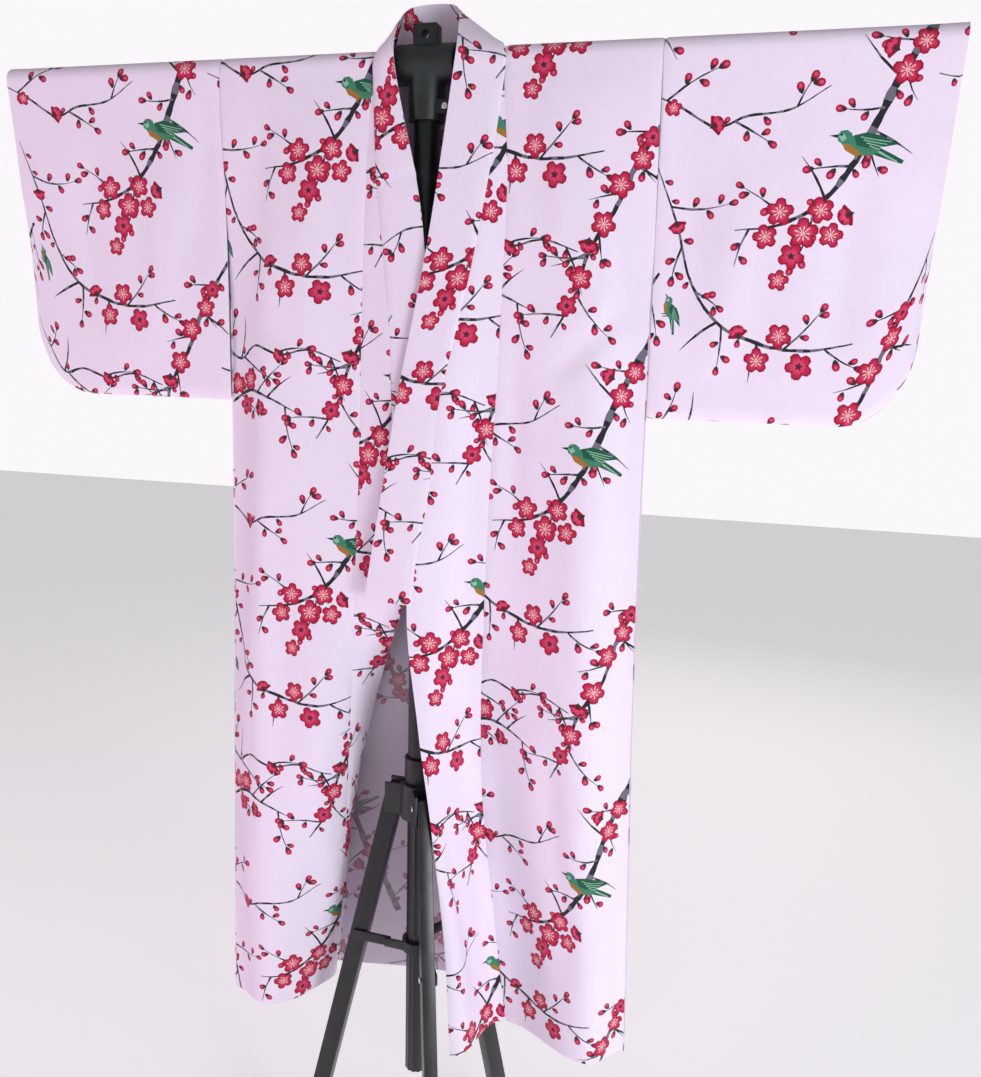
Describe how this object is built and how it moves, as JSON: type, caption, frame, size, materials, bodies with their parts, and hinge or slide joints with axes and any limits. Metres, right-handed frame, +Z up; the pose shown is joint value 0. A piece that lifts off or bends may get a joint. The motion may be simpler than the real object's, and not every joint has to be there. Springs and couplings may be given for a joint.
{
  "type": "yukata on display stand",
  "caption": "Unlined cotton yukata with a plum and bird print, worn open and spread by its sleeves over the crossbar of a black folding tripod display stand.",
  "frame": {"origin": "centre of the bounding box at the floor, under the middle of the garment", "axes": "+Z up, -Y the front of the garment, +X the viewer's right along the crossbar"},
  "size_m": [1.3432, 0.4206, 1.8911],
  "materials": {
    "cotton": "plain-woven cotton, pale pink-lavender with a crimson, grey and green print",
    "collar_cotton": "plain-woven cotton of two layers, same print",
    "black_aluminium": "matt black anodised tube",
    "black_steel": "satin black paint",
    "black_plastic": "matt black moulding",
    "chrome": "bright screw head",
    "rubber": "dark rubber foot"
  },
  "bodies": {
    "stand": {"mast": "black_aluminium", "mast_sleeve": "black_plastic", "column": "black_steel", "hub": "black_plastic", "hub_screw_front": "chrome", "hub_screw_back": "chrome", "hub_screw_side": "chrome"},
    "upper": {"tee": "black_plastic", "tee_screw": "chrome", "crossbar": "black_aluminium", "bar_plug_left": "black_plastic", "bar_plug_right": "black_plastic", "body_left_length": "cotton", "body_right_length": "cotton", "okumi_left": "cotton", "okumi_right": "cotton", "sleeve_left": "cotton", "sleeve_right": "cotton", "collar": "collar_cotton"},
    "runner": {"runner": "black_plastic"},
    "leg_front_body": {"leg_front": "black_steel", "foot_front": "rubber", "leg_screw_front": "chrome"},
    "brace_front_body": {"brace_front": "black_steel"},
    "leg_back_body": {"leg_back": "black_steel", "foot_back": "rubber", "leg_screw_back": "chrome"},
    "brace_back_body": {"brace_back": "black_steel"},
    "leg_side_body": {"leg_side": "black_steel", "foot_side": "rubber", "leg_screw_side": "chrome"},
    "brace_side_body": {"brace_side": "black_steel"}
  },
  "joints": [
    {"name": "tee_slide", "type": "slide", "parent": "stand", "child": "upper", "axis": [0, 0, 1], "range_m": [0, 0.035]},
    {"name": "leg_front_fold", "type": "hinge", "parent": "stand", "child": "leg_front_body", "pos_m": [0.01078, -0.03164, 0.735], "axis": [0.8829, 0.4695, 0], "range_deg": [0, 13.4]},
    {"name": "brace_front_fold", "type": "hinge", "parent": "leg_front_body", "child": "brace_front_body", "pos_m": [0.03895, -0.08461, 0.485], "axis": [0.8829, 0.4695, 0], "range_deg": [0, 82.5]},
    {"name": "leg_back_fold", "type": "hinge", "parent": "stand", "child": "leg_back_body", "pos_m": [0.0132, 0.0376, 0.735], "axis": [-0.848, 0.5299, 0], "range_deg": [0, 13.4]},
    {"name": "brace_back_fold", "type": "hinge", "parent": "leg_back_body", "child": "brace_back_body", "pos_m": [0.04499, 0.08848, 0.485], "axis": [-0.848, 0.5299, 0], "range_deg": [0, 82.5]},
    {"name": "leg_side_fold", "type": "hinge", "parent": "stand", "child": "leg_side_body", "pos_m": [-0.04798, 0.00508, 0.735], "axis": [-0.0349, -0.9994, 0], "range_deg": [0, 13.4]},
    {"name": "brace_side_fold", "type": "hinge", "parent": "leg_side_body", "child": "brace_side_body", "pos_m": [-0.10794, 0.00717, 0.485], "axis": [-0.0349, -0.9994, 0], "range_deg": [0, 82.5]},
    {"name": "runner_slide", "type": "slide", "parent": "stand", "child": "runner", "axis": [0, 0, 1], "range_m": [0, 0.047]}
  ],
  "couplings": [
    {"joint": "brace_front_fold", "follows": "leg_front_fold", "ratio": 6.1194},
    {"joint": "leg_back_fold", "follows": "leg_front_fold", "ratio": 1},
    {"joint": "brace_back_fold", "follows": "leg_front_fold", "ratio": 6.1194},
    {"joint": "leg_side_fold", "follows": "leg_front_fold", "ratio": 1},
    {"joint": "brace_side_fold", "follows": "leg_front_fold", "ratio": 6.1194},
    {"joint": "runner_slide", "follows": "leg_front_fold", "m_per_rad": 0.19968}
  ]
}
